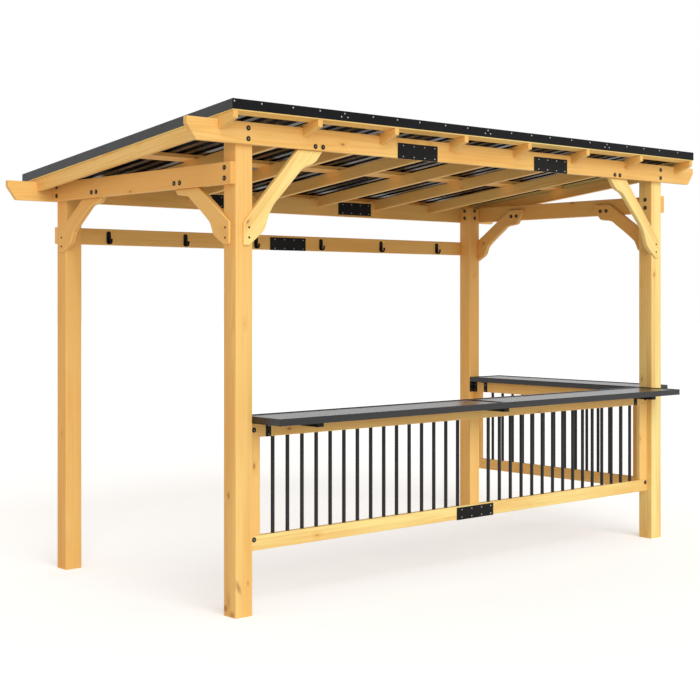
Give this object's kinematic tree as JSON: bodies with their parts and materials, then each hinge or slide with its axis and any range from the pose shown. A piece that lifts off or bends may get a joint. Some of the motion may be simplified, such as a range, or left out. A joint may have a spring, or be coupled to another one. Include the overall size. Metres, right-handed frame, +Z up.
{
  "type": "lean-to grill gazebo with bar counters",
  "caption": "Open timber lean-to garden gazebo with a single-slope ribbed metal roof, curved knee braces, a hook rail and an L-shaped bar with balusters and metal counters.",
  "frame": {"origin": "bottom centre of the whole gazebo, on the ground", "axes": "+Z up, +X right along the front bar, +Y towards the low back edge of the roof"},
  "size_m": [3.862, 1.983, 2.371],
  "materials": {
    "pine": "satin honey-stained softwood",
    "roof_metal": "satin black coated steel",
    "black_metal": "black powder coat",
    "counter": "glossy dark grey coated steel"
  },
  "bodies": {
    "root": {"post_front_left": "pine", "post_front_right": "pine", "post_rear_left": "pine", "post_rear_right": "pine", "front_beam_ends": "pine", "front_beam_middle": "pine", "back_beam_ends": "pine", "back_beam_middle": "pine", "side_beam_left": "pine", "side_beam_right": "pine", "front_braces": "pine", "side_braces": "pine", "rafter_1": "pine", "rafter_2": "pine", "rafter_3": "pine", "rafter_4": "pine", "rafter_5": "pine", "rafter_6": "pine", "rafter_7": "pine", "rafter_8": "pine", "purlins": "pine", "verge_battens": "pine", "hook_rail_left": "pine", "hook_rail_right": "pine", "front_top_rail": "pine", "front_bottom_rail_left": "pine", "front_bottom_rail_right": "pine", "front_stiles": "pine", "side_rails": "pine", "side_stiles": "pine", "roof_sheet_1": "roof_metal", "roof_sheet_2": "roof_metal", "roof_sheet_3": "roof_metal", "roof_sheet_4": "roof_metal", "roof_trim_front": "roof_metal", "roof_trim_back": "roof_metal", "roof_trim_sides": "roof_metal", "coat_hooks": "black_metal", "splice_plates": "black_metal", "front_balusters": "black_metal", "side_balusters": "black_metal", "counter_brackets": "black_metal", "front_counter_left": "counter", "front_counter_right": "counter", "side_counter": "counter"}
  },
  "joints": []
}
